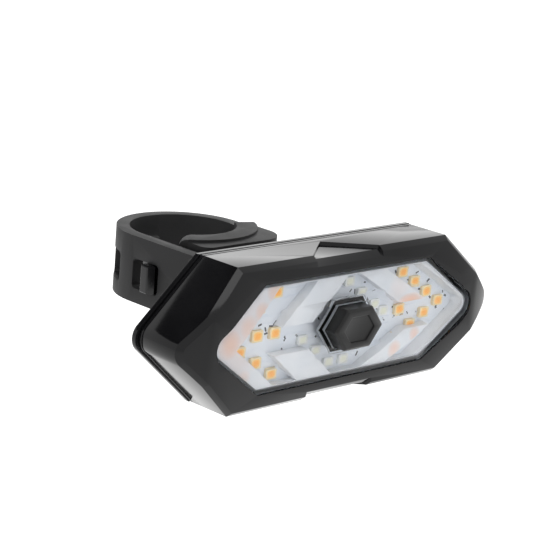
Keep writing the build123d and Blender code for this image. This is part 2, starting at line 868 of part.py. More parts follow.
# Push button through the middle of the lens, its soft ring, and the switch behind it
with BuildPart() as push_button:
    with BuildSketch(at_depth(button_flange_front)):
        add(button_outline)
    extrude(amount=button_front + button_flange_front)
    chamfer(push_button.faces().sort_by(Axis.Y)[0].edges(), button_chamfer)
    with BuildSketch(at_depth(-button_front)):
        add(scale(button_outline, by=button_dish_share, mode=Mode.PRIVATE))
    extrude(amount=-button_dish_depth, mode=Mode.SUBTRACT)
    with BuildSketch(at_depth(button_flange_front)):
        add(grown(button_outline, button_flange))
    extrude(amount=-button_flange_thickness)
    with BuildSketch(at_depth(button_flange_front + button_flange_thickness)):
        add(grown(button_outline, -button_hollow))
    extrude(amount=button_flange_thickness + button_front / 2, mode=Mode.SUBTRACT)
    with BuildSketch(at_depth(-button_front / 2)):
        Circle(button_stem_radius)
    extrude(amount=-(plunger_front - plunger_gap + button_front / 2))
save(push_button, "push_button")

with BuildPart() as button_seal:
    with BuildSketch(at_depth(lens_collar_back)):
        add(grown(button_outline, button_gap + button_seal_width))
        add(grown(button_outline, button_gap), mode=Mode.SUBTRACT)
    extrude(amount=-button_seal_thickness)
save(button_seal, "button_seal")

with BuildPart() as tact_switch:
    with BuildSketch(at_depth(board_front)):
        Rectangle(switch_size, switch_size)
        Circle(plunger_radius + running_gap, mode=Mode.SUBTRACT)
    extrude(amount=switch_thickness)
save(tact_switch, "tact_switch")

with BuildPart() as switch_plunger:
    with BuildSketch(at_depth(switch_front + plunger_seat)):
        Circle(plunger_radius)
    extrude(amount=plunger_height + plunger_seat)
save(switch_plunger, "switch_plunger")

# Screws with crossed heads: cover, board and bracket
with BuildPart() as cover_screws:
    with BuildSketch(at_depth(screw_seat)):
        with Locations(*boss_places):
            Circle(cover_screw_radius)
    extrude(amount=cover_screw_length)
    with BuildSketch(at_depth(screw_seat)):
        with Locations(*boss_places):
            Circle(cover_screw_head)
    extrude(amount=-cover_screw_head_thickness)
    with BuildSketch(at_depth(screw_seat + cover_screw_head_thickness)):
        with Locations(*boss_places):
            Rectangle(cross_width, cover_screw_head * cross_share)
            Rectangle(cover_screw_head * cross_share, cross_width)
    extrude(amount=cross_depth, mode=Mode.SUBTRACT)
save(cover_screws, "cover_screws")

with BuildPart() as board_screws:
    with BuildSketch(at_depth(board_back)):
        with Locations(*board_screw_places):
            Circle(board_screw_radius)
    extrude(amount=board_screw_bite)
    with BuildSketch(at_depth(board_back)):
        with Locations(*board_screw_places):
            Circle(board_screw_head)
    extrude(amount=-board_screw_head_thickness)
    with BuildSketch(at_depth(board_back + board_screw_head_thickness)):
        with Locations(*board_screw_places):
            Rectangle(cross_width, board_screw_head * cross_share)
            Rectangle(board_screw_head * cross_share, cross_width)
    extrude(amount=cross_depth, mode=Mode.SUBTRACT)
save(board_screws, "board_screws")

with BuildPart() as bracket_screws:
    with BuildSketch(at_depth(bracket_back)):
        with Locations(*bracket_screw_places):
            Circle(bracket_screw_radius)
    extrude(amount=bracket_plate_thickness + bracket_screw_bite)
    with BuildSketch(at_depth(bracket_back)):
        with Locations(*bracket_screw_places):
            Circle(bracket_screw_head)
    extrude(amount=-bracket_screw_head_thickness)
    with BuildSketch(at_depth(bracket_back + bracket_screw_head_thickness)):
        with Locations(*bracket_screw_places):
            Rectangle(cross_width, bracket_screw_head * cross_share)
            Rectangle(bracket_screw_head * cross_share, cross_width)
    extrude(amount=cross_depth, mode=Mode.SUBTRACT)
save(bracket_screws, "bracket_screws")

# Bracket on the rear cover: plate, neck, key for the saddle, and the arm with the strap hook
arm_outside = strap_inner - arm_gap
arm_inside = arm_outside - arm_thickness
hook_middle = -slot_drop
with BuildPart() as mount_bracket:
    with BuildSketch(at_depth(cover_back)):
        RectangleRounded(bracket_plate_width, bracket_plate_height, bracket_plate_rounding)
        with Locations(*bracket_screw_places):
            Circle(bracket_screw_radius + screw_pass_gap, mode=Mode.SUBTRACT)
    extrude(amount=-bracket_plate_thickness)
    with BuildSketch(Plane.XZ.offset(-row_y(bracket_back))):
        RectangleRounded(2 * neck_half_width, neck_height, neck_rounding)
    extrude(amount=-(post_to_window - bracket_back - saddle_front))
    with BuildSketch(Plane.XZ.offset(saddle_front)):
        Rectangle(tenon_width, tenon_height)
    extrude(amount=-tenon_length)
    with BuildSketch(Plane.XY.offset(-arm_height / 2)):
        with BuildLine():
            Polyline(
                (-neck_half_width + neck_rounding, -saddle_front - arm_root),
                (-arm_outside, -saddle_front - arm_root),
                (-arm_outside, -hook_back),
                (-arm_inside, -hook_back),
                (-arm_inside, -saddle_front - arm_root / 2),
                (-neck_half_width + neck_rounding, -saddle_front - arm_root / 2),
                close=True,
            )
        make_face()
        with Locations((0, 0)):
            Circle(post_radius + arm_post_gap, mode=Mode.SUBTRACT)
    extrude(amount=arm_height)
    with BuildSketch(Plane.XY.offset(hook_middle - hook_height / 2)):
        with BuildLine():
            Polyline(
                (-arm_outside, -hook_back),
                (-strap_outer - hook_reach - hook_lip_thickness, -hook_back),
                (-strap_outer - hook_reach - hook_lip_thickness, -hook_back - hook_head),
                (-strap_outer - hook_reach, -hook_front),
                (-strap_outer - hook_reach, -hook_front + hook_lip),
                (-arm_outside, -hook_front + hook_lip),
                close=True,
            )
        make_face()
    extrude(amount=hook_height)
    tip = mount_bracket.faces().sort_by(Axis.X)[0]
    fillet(tip.edges(), hook_rounding)
save(mount_bracket, "mount_bracket")

# Rubber saddle: a body with a raised ring against the post, and a pocket for the strap's root
with BuildPart() as saddle_pad:
    with BuildSketch(Plane.XY.offset(-saddle_height / 2 + saddle_step)):
        with BuildLine():
            Polyline(
                (-saddle_left, -saddle_front),
                (saddle_right, -saddle_front),
                (saddle_right, saddle_right * tan(radians(saddle_end_angle))),
                (0, 0),
                (-saddle_left, 0),
                close=True,
            )
        make_face()
    extrude(amount=saddle_height - 2 * saddle_step)
    front_edges = saddle_pad.edges().filter_by(Axis.Z).group_by(Axis.Y)[0].sort_by(Axis.X)
    fillet(front_edges[0], saddle_rounding_left)
    front_edges = saddle_pad.edges().filter_by(Axis.Z).sort_by(Axis.X)
    fillet(front_edges[-2:].sort_by(Axis.Y)[0], saddle_rounding_right)
    with BuildSketch(Plane.XY.offset(-saddle_height / 2)):
        add(ring_sector(post_radius, saddle_ring_outer, -180 + saddle_lobe_angle / 2, saddle_end_angle))
    extrude(amount=saddle_height)
    lobe_x = -cos(radians(saddle_lobe_angle))
    lobe_y = -sin(radians(saddle_lobe_angle))
    with BuildSketch(Plane((0, 0, 0), x_dir=(-lobe_y, lobe_x, 0), z_dir=(lobe_x, lobe_y, 0))):
        with Locations((far / 2 - saddle_lobe, 0)):
            RectangleRounded(far, saddle_height, saddle_lobe_rounding)
    extrude(amount=far, both=True, mode=Mode.INTERSECT)
    with BuildSketch(Plane.YZ.offset(-saddle_left)):
        Rectangle(far, far)
    extrude(amount=-far, mode=Mode.SUBTRACT)
    with BuildSketch(Plane.XY.offset(-saddle_height / 2)):
        Circle(post_radius)
    extrude(amount=saddle_height, mode=Mode.SUBTRACT)
    with BuildSketch(Plane.XZ.offset(saddle_front)):
        Rectangle(tenon_width, tenon_height)
    extrude(amount=-tenon_length, mode=Mode.SUBTRACT)
    with BuildSketch(Plane.XY.offset(-strap_height / 2)):
        add(ring_sector(strap_inner, strap_outer, strap_root_angle, 0))
    extrude(amount=strap_height, mode=Mode.SUBTRACT)
save(saddle_pad, "saddle_pad")

# Strap round the back of the post with a row of slots; its free end is a piece of its own
slot_step = slot_length + slot_web
slot_radius = (strap_inner + strap_outer) / 2
with BuildPart() as strap:
    with BuildSketch(Plane.XY.offset(-strap_height / 2)):
        add(ring_sector(strap_inner, strap_outer, strap_root_angle, 180))
    extrude(amount=strap_height)
    with BuildSketch(Plane.XZ.offset(-strap_cut)):
        with Locations((-far / 2, 0)):
            Rectangle(far, far)
    extrude(amount=far, mode=Mode.SUBTRACT)
    for n in range(band_slots):
        travel = slot_step * (n + 1) - slot_front + slot_length / 2
        turn = travel / slot_radius
        with BuildSketch(Plane((0, 0, -slot_drop), x_dir=(sin(turn), cos(turn), 0), z_dir=(-cos(turn), sin(turn), 0))):
            RectangleRounded(slot_length, slot_height, slot_corner)
        extrude(amount=strap_outer + overrun, mode=Mode.SUBTRACT)
save(strap, "strap")

with BuildPart() as strap_end:
    with BuildSketch(Plane.XY.offset(-strap_height / 2)):
        add(ring_sector(strap_inner, strap_outer, strap_tongue_angle, 180))
        with Locations((-slot_radius, -tongue_end / 2)):
            Rectangle(strap_thickness, tongue_end)
    extrude(amount=strap_height)
    with BuildSketch(Plane.XZ.offset(-strap_cut + strap_gap)):
        Rectangle(far, far)
    extrude(amount=-far, mode=Mode.SUBTRACT)
    fillet(strap_end.edges().filter_by(Axis.X).group_by(Axis.Y)[0], tongue_corner)
    with BuildSketch(Plane.YZ.offset(-strap_inner + overrun)):
        with Locations((-slot_front + slot_length / 2, -slot_drop)):
            RectangleRounded(slot_length, slot_height, slot_corner)
    extrude(amount=-(strap_thickness + 2 * overrun), mode=Mode.SUBTRACT)
save(strap_end, "strap_end")
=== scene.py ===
"""Looks of the bicycle turn signal light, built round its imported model."""

import logging
import math
from dataclasses import dataclass
from enum import Enum
from typing import Any, Iterable, Sequence

import bmesh
import bpy
from mathutils import Matrix, Vector


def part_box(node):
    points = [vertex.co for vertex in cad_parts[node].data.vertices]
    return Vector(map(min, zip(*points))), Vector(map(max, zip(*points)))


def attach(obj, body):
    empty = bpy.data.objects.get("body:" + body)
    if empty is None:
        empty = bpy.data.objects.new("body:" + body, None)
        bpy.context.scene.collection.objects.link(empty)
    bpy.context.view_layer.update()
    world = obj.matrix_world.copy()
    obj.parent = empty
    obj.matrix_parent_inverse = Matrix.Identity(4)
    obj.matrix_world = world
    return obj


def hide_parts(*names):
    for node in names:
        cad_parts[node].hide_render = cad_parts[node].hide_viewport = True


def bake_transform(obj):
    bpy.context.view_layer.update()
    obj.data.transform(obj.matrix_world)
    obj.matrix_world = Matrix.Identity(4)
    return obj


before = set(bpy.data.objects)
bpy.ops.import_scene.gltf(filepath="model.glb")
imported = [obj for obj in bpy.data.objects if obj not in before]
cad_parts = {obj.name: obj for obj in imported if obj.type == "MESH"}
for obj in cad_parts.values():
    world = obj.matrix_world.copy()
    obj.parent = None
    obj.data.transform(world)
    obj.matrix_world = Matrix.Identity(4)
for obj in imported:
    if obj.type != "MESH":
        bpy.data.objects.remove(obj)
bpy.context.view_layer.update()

LOG = logging.getLogger("turn_signal_light")
MM = 0.001
FROM_MIDDLE = "from_middle"
IS_PAD = "is_pad"
SHARP_DEGREES = 40.0
JOIN_DISTANCE = 0.001 * MM
# Sockets of a Mix node set to colours, whose names repeat for each data type
MIX_SHARE, MIX_FIRST, MIX_SECOND, MIX_RESULT = 0, 6, 7, 2
Colour = tuple[float, float, float]
Place = tuple[float, float, float]
Span = tuple[float, float]


class Body(Enum):
    """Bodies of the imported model."""

    LIGHT = "light"
    BUTTON = "button"
    PLUNGER = "plunger"
    PLUG = "plug"
    TONGUE = "tongue"


class Formula:
    """A shader value that can be written in sums; each operator adds a Math node."""

    def __init__(self, board: "NodeBoard", socket: bpy.types.NodeSocket) -> None:
        """Wrap one output socket of a node tree."""
        self.board = board
        self.socket = socket

    def _math(self, operation: str, *terms: Any) -> "Formula":
        """Add a Math node.

        Args:
            operation: Math node operation.
            terms: numbers or formulas, in the node's order.

        Returns:
            The node's result.
        """
        node = self.board.node("ShaderNodeMath", {"operation": operation}, list(terms))
        return Formula(self.board, node.outputs[0])

    def __add__(self, other: Any) -> "Formula":
        """Sum."""
        return self._math("ADD", self, other)

    __radd__ = __add__

    def __sub__(self, other: Any) -> "Formula":
        """Difference."""
        return self._math("SUBTRACT", self, other)

    def __rsub__(self, other: Any) -> "Formula":
        """Reflected difference."""
        return self._math("SUBTRACT", other, self)

    def __mul__(self, other: Any) -> "Formula":
        """Product."""
        return self._math("MULTIPLY", self, other)

    __rmul__ = __mul__

    def __truediv__(self, other: Any) -> "Formula":
        """Quotient."""
        return self._math("DIVIDE", self, other)

    def __rtruediv__(self, other: Any) -> "Formula":
        """Reflected quotient."""
        return self._math("DIVIDE", other, self)

    def __pow__(self, other: Any) -> "Formula":
        """Power."""
        return self._math("POWER", self, other)

    def clamped(self) -> "Formula":
        """The value held between 0 and 1."""
        return self._math("MINIMUM", self._math("MAXIMUM", self, 0.0), 1.0)

    def size(self) -> "Formula":
        """The value without its sign."""
        return self._math("ABSOLUTE", self)

    def sign(self) -> "Formula":
        """-1, 0 or 1."""
        return self._math("SIGN", self)

    def fraction(self) -> "Formula":
        """What follows the whole number."""
        return self._math("FRACT", self)

    def step(self, low: float, high: float) -> "Formula":
        """Rise from 0 to 1 between two values.

        Args:
            low: value at which the rise starts.
            high: value at which it ends.

        Returns:
            The risen value.
        """
        return ((self - low) / (high - low)).clamped()


class Board:
    """A node tree and the ways in which nodes are added to it."""

    def __init__(self, tree: bpy.types.NodeTree) -> None:
        """Hold the tree."""
        self.tree = tree

    def node(self, kind: str, settings: dict[str, Any] | None = None, inputs: Any = None) -> bpy.types.Node:
        """Add one node.

        Args:
            kind: the node's type.
            settings: its properties, set first.
            inputs: a list in socket order or a dict by socket name, of numbers, colours, formulas or sockets.

        Returns:
            The new node.
        """
        made = self.tree.nodes.new(kind)
        for key, value in (settings or {}).items():
            setattr(made, key, value)
        pairs = inputs.items() if isinstance(inputs, dict) else enumerate(inputs or [])
        for key, value in pairs:
            self.feed(made.inputs[key], value)
        return made

    def feed(self, socket: bpy.types.NodeSocket, value: Any) -> None:
        """Link or set one input socket."""
        if isinstance(value, Formula):
            self.tree.links.new(value.socket, socket)
        elif isinstance(value, bpy.types.NodeSocket):
            self.tree.links.new(value, socket)
        elif socket.type == "RGBA" and len(value) == 3:
            socket.default_value = (*value, 1.0)
        else:
            socket.default_value = value

    def seen_rays(self) -> Formula:
        """1 for rays that show a thing to the camera, straight or by mirror or glass, and 0 for its light."""
        path = self.node("ShaderNodeLightPath")
        seen = Formula(self, path.outputs["Is Camera Ray"]) + Formula(self, path.outputs["Is Glossy Ray"])
        return (seen + Formula(self, path.outputs["Is Transmission Ray"])).clamped()


class NodeBoard(Board):
    """A material's node tree, with patterns in millimetres of the object's own place."""

    def __init__(self, name: str) -> None:
        """Make an empty node material."""
        self.material = bpy.data.materials.new(name)
        self.material.use_nodes = True
        super().__init__(self.material.node_tree)
        self.tree.nodes.clear()
        self.output = self.tree.nodes.new("ShaderNodeOutputMaterial")

    def place(self) -> bpy.types.NodeSocket:
        """Object coordinates."""
        return self.node("ShaderNodeTexCoord").outputs["Object"]

    def axes(self) -> tuple[Formula, Formula, Formula]:
        """The three object coordinates, in millimetres."""
        parts = self.node("ShaderNodeSeparateXYZ", inputs=[self.place()])
        return tuple(Formula(self, out) * (1 / MM) for out in parts.outputs)

    def noise(self, size: float, detail: float = 2.0, rough: float = 0.5) -> Formula:
        """Noise with features of a size in millimetres, between 0 and 1."""
        inputs = {"Vector": self.place(), "Scale": 1 / (size * MM), "Detail": detail, "Roughness": rough}
        return Formula(self, self.node("ShaderNodeTexNoise", {}, inputs).outputs["Fac"])

    def mix(self, share: Any, first: Any, second: Any) -> bpy.types.NodeSocket:
        """Blend two colours.

        Args:
            share: how much of the second colour shows.
            first: colour at share 0.
            second: colour at share 1.

        Returns:
            The blended colour.
        """
        made = self.node("ShaderNodeMix", {"data_type": "RGBA"})
        self.feed(made.inputs[MIX_SHARE], share)
        self.feed(made.inputs[MIX_FIRST], first)
        self.feed(made.inputs[MIX_SECOND], second)
        return made.outputs[MIX_RESULT]

    def spots(self, places: Iterable["Spot"]) -> Formula:
        """Soft round spots on the lens plane.

        Args:
            places: the spots.

        Returns:
            1 at the spots' middles, 0 away from them.
        """
        x, _, z = self.axes()
        total: Any = 0.0
        for spot in places:
            across = (x - spot.x) / spot.radius
            along = (z - spot.z) / (spot.radius * spot.stretch)
            total = total + (1.0 - across * across - along * along).clamped() * spot.strength
        return total.clamped()

    def bump(self, height: Formula, depth: float, strength: float = 1.0) -> bpy.types.NodeSocket:
        """Bump normal from a height, with its depth in millimetres."""
        inputs = {"Height": height, "Distance": depth * MM, "Strength": strength}
        return self.node("ShaderNodeBump", {}, inputs).outputs["Normal"]

    def surface(self, settings: dict[str, Any]) -> bpy.types.Material:
        """Finish the material with a Principled shader.

        Args:
            settings: the shader's inputs by name.

        Returns:
            The material.
        """
        shader = self.node("ShaderNodeBsdfPrincipled", {}, settings)
        self.tree.links.new(shader.outputs[0], self.output.inputs["Surface"])
        return self.material


class ShapeBoard(Board):
    """A geometry node group with named sizes."""

    def __init__(self, name: str, sizes: dict[str, float]) -> None:
        """Make a group that takes points and the named sizes, in metres or as plain numbers."""
        super().__init__(bpy.data.node_groups.new(name, "GeometryNodeTree"))
        self.sizes = sizes
        face = self.tree.interface
        face.new_socket(name="Geometry", in_out="INPUT", socket_type="NodeSocketGeometry")
        for label in sizes:
            face.new_socket(name=label, in_out="INPUT", socket_type="NodeSocketFloat")
        face.new_socket(name="Geometry", in_out="OUTPUT", socket_type="NodeSocketGeometry")
        self.entry = self.tree.nodes.new("NodeGroupInput")
        self.exit = self.tree.nodes.new("NodeGroupOutput")

    def size(self, label: str) -> Formula:
        """One of the named sizes."""
        return Formula(self, self.entry.outputs[label])

    def vector(self, x: Any, y: Any, z: Any) -> bpy.types.NodeSocket:
        """A vector from three values."""
        return self.node("ShaderNodeCombineXYZ", inputs=[x, y, z]).outputs[0]

    def join(self, *parts: bpy.types.NodeSocket) -> bpy.types.NodeSocket:
        """Several geometries as one."""
        made = self.node("GeometryNodeJoinGeometry")
        for part in parts:
            self.tree.links.new(part, made.inputs[0])
        return made.outputs[0]

    def scatter(self, instance: bpy.types.NodeSocket, turn: Any, scale: Any) -> bpy.types.NodeSocket:
        """Stand an instance on each incoming point.

        Args:
            instance: what is repeated.
            turn: its rotation, as an Euler vector.
            scale: its scale.

        Returns:
            The instances as real geometry.
        """
        turned = self.node("FunctionNodeEulerToRotation", {}, [turn])
        inputs = {"Instance": instance, "Rotation": turned.outputs[0], "Scale": scale}
        stood = self.node("GeometryNodeInstanceOnPoints", {}, {"Points": self.entry.outputs[0], **inputs})
        return self.node("GeometryNodeRealizeInstances", {}, [stood.outputs[0]]).outputs[0]

    def chance(self, low: Place, high: Place, seed: int) -> bpy.types.NodeSocket:
        """A random vector for each point, from a fixed seed."""
        made = self.node("FunctionNodeRandomValue", {"data_type": "FLOAT_VECTOR"})
        made.inputs[0].default_value = low
        made.inputs[1].default_value = high
        made.inputs["Seed"].default_value = seed
        return made.outputs[0]

    def finish(
        self, geometry: bpy.types.NodeSocket, paint: bpy.types.Material, only: Any = True
    ) -> bpy.types.NodeSocket:
        """Give geometry a material, on all of it or where a selection holds."""
        inputs = {"Geometry": geometry, "Selection": only, "Material": paint}
        return self.node("GeometryNodeSetMaterial", {}, inputs).outputs[0]

    def make(self, name: str, points: Sequence[Vector], result: bpy.types.NodeSocket) -> bpy.types.Object:
        """Run the group on points.

        Args:
            name: the new piece's name.
            points: where its copies stand.
            result: the group's last geometry.

        Returns:
            The new piece with a plain mesh.
        """
        self.tree.links.new(result, self.exit.inputs[0])
        mesh = bpy.data.meshes.new(name)
        mesh.from_pydata([tuple(p) for p in points], [], [])
        piece = add_piece(name, mesh)
        modifier = piece.modifiers.new("shape", "NODES")
        modifier.node_group = self.tree
        for item in self.tree.interface.items_tree:
            if item.in_out == "INPUT" and item.name in self.sizes:
                modifier[item.identifier] = float(self.sizes[item.name])
        evaluated_mesh(piece)
        return piece


@dataclass(frozen=True)
class Spot:
    """A soft round spot on the lens plane, in millimetres."""

    x: float
    z: float
    radius: float
    strength: float = 1.0
    stretch: float = 1.0


@dataclass(frozen=True)
class MouldedPlastic:
    """Black or coloured moulded plastic: faint flow marks, soft wear and a fine grain."""

    name: str
    colour: Colour
    roughness: float
    grain: float = 0.25
    grain_depth: float = 0.0015
    mottle: float = 0.12
    density: float = 1.33
    flow_size: float = 14.0
    flow_span: Span = (0.35, 0.75)
    pale_gain: float = 1.5
    pale_lift: float = 0.0015

    def material(self) -> bpy.types.Material:
        """Build the finish."""
        board = NodeBoard(self.name)
        flow = board.noise(self.flow_size, 3.0)
        fine = board.noise(self.grain, 2.0)
        pale = tuple(min(1.0, c * self.pale_gain + self.pale_lift) for c in self.colour)
        rough = self.roughness + (flow - 0.5) * self.mottle + (fine - 0.5) * self.mottle * 0.5
        return board.surface(
            {
                "Base Color": board.mix(flow.step(*self.flow_span), self.colour, pale),
                "Roughness": rough.clamped(),
                "IOR": self.density,
                "Normal": board.bump(fine, self.grain_depth),
            }
        )


@dataclass(frozen=True)
class SoftRubber:
    """Matte rubber: speckled skin, a paler bloom and a fine bump."""

    name: str
    colour: Colour
    bloom: Colour
    roughness: float = 0.58
    grain: float = 0.35
    grain_depth: float = 0.01
    density: float = 1.4
    cloud_size: float = 6.0
    cloud_span: Span = (0.35, 0.8)
    cloud_share: float = 0.5
    speck_span: Span = (0.5, 0.8)
    speck_share: float = 0.3
    cloud_roughness: float = 0.2
    speck_roughness: float = 0.1

    def material(self) -> bpy.types.Material:
        """Build the finish."""
        board = NodeBoard(self.name)
        speck = board.noise(self.grain, 3.0, 0.6)
        cloud = board.noise(self.cloud_size, 3.0)
        bloomed = cloud.step(*self.cloud_span) * self.cloud_share
        share = bloomed + speck.step(*self.speck_span) * self.speck_share
        uneven = self.roughness + (cloud - 0.5) * self.cloud_roughness
        return board.surface(
            {
                "Base Color": board.mix(share, self.colour, self.bloom),
                "Roughness": (uneven + (speck - 0.5) * self.speck_roughness).clamped(),
                "IOR": self.density,
                "Normal": board.bump(speck, self.grain_depth),
            }
        )


@dataclass(frozen=True)
class ClearPlastic:
    """Clear polished plastic with the faintest waviness, milky where it is only half clear."""

    name: str
    colour: Colour
    roughness: float = 0.02
    clearness: float = 1.0
    density: float = 1.36
    wave_size: float = 9.0
    wave_span: Span = (0.3, 0.8)
    wave_depth: float = 0.01
    wave_strength: float = 0.4
    wave_roughness: float = 0.02
    dimmed: float = 0.985

    def material(self) -> bpy.types.Material:
        """Build the finish."""
        board = NodeBoard(self.name)
        wave = board.noise(self.wave_size, 2.0)
        dim = tuple(c * self.dimmed for c in self.colour)
        return board.surface(
            {
                "Base Color": board.mix(wave.step(*self.wave_span), self.colour, dim),
                "Roughness": (self.roughness + (wave - 0.5) * self.wave_roughness).clamped(),
                "IOR": self.density,
                "Transmission Weight": self.clearness,
                "Normal": board.bump(wave, self.wave_depth, self.wave_strength),
            }
        )


@dataclass(frozen=True)
class MilkyPlastic:
    """Milky moulding, with a painted glow where light sources lie close behind it."""

    name: str
    colour: Colour
    shade: Colour
    roughness: float = 0.3
    glow_tint: Colour = (1.0, 0.52, 0.30)
    painted_glows: tuple[Spot, ...] = ()
    cloud_size: float = 7.0
    cloud_span: Span = (0.35, 0.75)
    grain: float = 0.4
    grain_depth: float = 0.003
    grain_roughness: float = 0.12
    scatter_share: float = 0.2
    scatter_radius: float = 2.0
    scatter_scale: float = 0.5

    def material(self) -> bpy.types.Material:
        """Build the finish."""
        board = NodeBoard(self.name)
        cloud = board.noise(self.cloud_size, 3.0)
        fine = board.noise(self.grain, 2.0)
        colour = board.mix(cloud.step(*self.cloud_span), self.colour, self.shade)
        # painted glow: warm spots mixed into the colour over the light sources behind
        if self.painted_glows:
            colour = board.mix(board.spots(self.painted_glows), colour, self.glow_tint)
        return board.surface(
            {
                "Base Color": colour,
                "Roughness": (self.roughness + (fine - 0.5) * self.grain_roughness).clamped(),
                "Subsurface Weight": self.scatter_share,
                "Subsurface Radius": (self.scatter_radius * MM,) * 3,
                "Subsurface Scale": self.scatter_scale,
                "Normal": board.bump(fine, self.grain_depth),
            }
        )


@dataclass(frozen=True)
class Metal:
    """Plated or tinned metal with fine brushing and a few dull spots."""

    name: str
    colour: Colour
    roughness: float = 0.3
    grain: float = 0.12
    grain_depth: float = 0.004
    grain_roughness: float = 0.1
    spot_size: float = 1.6
    spot_span: Span = (0.45, 0.8)
    spot_roughness: float = 0.25
    dulled: float = 0.72

    def material(self) -> bpy.types.Material:
        """Build the finish."""
        board = NodeBoard(self.name)
        spot = board.noise(self.spot_size, 3.0)
        fine = board.noise(self.grain, 2.0)
        dull = tuple(c * self.dulled for c in self.colour)
        uneven = self.roughness + (spot - 0.5) * self.spot_roughness
        return board.surface(
            {
                "Base Color": board.mix(spot.step(*self.spot_span), self.colour, dull),
                "Roughness": (uneven + (fine - 0.5) * self.grain_roughness).clamped(),
                "Metallic": 1.0,
                "Normal": board.bump(fine, self.grain_depth),
            }
        )


@dataclass(frozen=True)
class Phosphor:
    """Phosphor under resin: a strong middle and a paler rim, by the distance from each source's middle, and a
    painted glow in the same colour.
    """

    name: str
    core: Colour
    rim: Colour
    glow: float
    roughness: float = 0.25
    grain: float = 0.2
    grain_depth: float = 0.004
    grain_roughness: float = 0.1
    grain_share: float = 0.12
    rim_span: Span = (0.35, 1.0)

    def material(self) -> bpy.types.Material:
        """Build the finish."""
        board = NodeBoard(self.name)
        across = board.node("ShaderNodeAttribute", {"attribute_name": FROM_MIDDLE})
        far = Formula(board, across.outputs["Fac"])
        fine = board.noise(self.grain, 2.0)
        share = (far.step(*self.rim_span) + (fine - 0.5) * self.grain_share).clamped()
        colour = board.mix(share, self.core, self.rim)
        return board.surface(
            {
                "Base Color": colour,
                "Roughness": (self.roughness + (fine - 0.5) * self.grain_roughness).clamped(),
                # painted glow: the pad gives off a faint light in its own colour, though it is no lamp
                "Emission Color": colour,
                "Emission Strength": self.glow,
                "Normal": board.bump(fine, self.grain_depth),
            }
        )


@dataclass(frozen=True)
class BoardMask:
    """White solder mask with the faint relief of copper tracks below."""

    name: str
    colour: Colour
    track: Colour
    pitch: float = 1.9
    roughness: float = 0.34
    grain: float = 0.5
    grain_roughness: float = 0.1
    waver_size: float = 9.0
    waver: float = 6.0
    track_start: Span = (0.40, 0.46)
    track_end: Span = (0.62, 0.68)
    gap_size: float = 5.0
    gap_span: Span = (0.5, 0.56)
    track_share: float = 0.55
    track_depth: float = 0.02

    def material(self) -> bpy.types.Material:
        """Build the finish."""
        board = NodeBoard(self.name)
        _, _, z = board.axes()
        shift = (board.noise(self.waver_size, 2.0) - 0.5) * self.waver
        lane = ((z + shift) / self.pitch).fraction()
        line = lane.step(*self.track_start) - lane.step(*self.track_end)
        gap = board.noise(self.gap_size, 2.0).step(*self.gap_span)
        share = (line * gap * self.track_share).clamped()
        fine = board.noise(self.grain)
        return board.surface(
            {
                "Base Color": board.mix(share, self.colour, self.track),
                "Roughness": (self.roughness + (fine - 0.5) * self.grain_roughness).clamped(),
                "Normal": board.bump(line * gap, self.track_depth),
            }
        )


# Painted glow: spots where light sources shine through the reflector in the photo, painted into its colour
PAINTED_GLOWS = (
    Spot(-22.9, 9.0, 2.6, 0.42),
    Spot(-26.8, 5.0, 2.4, 0.34),
    Spot(-30.7, 2.3, 2.8, 0.26),
    Spot(-36.4, -0.9, 3.6, 0.42),
    Spot(-31.0, -9.4, 2.2, 0.26),
    Spot(-34.0, -5.0, 6.5, 0.16, 1.6),
    Spot(-30.0, 3.0, 9.0, 0.14, 1.2),
    Spot(23.8, -7.1, 2.0, 0.5),
    Spot(17.3, -9.9, 2.4, 0.55),
    Spot(21.4, 1.3, 4.6, 0.75, 0.45),
    Spot(17.0, 4.5, 4.0, 0.14),
)


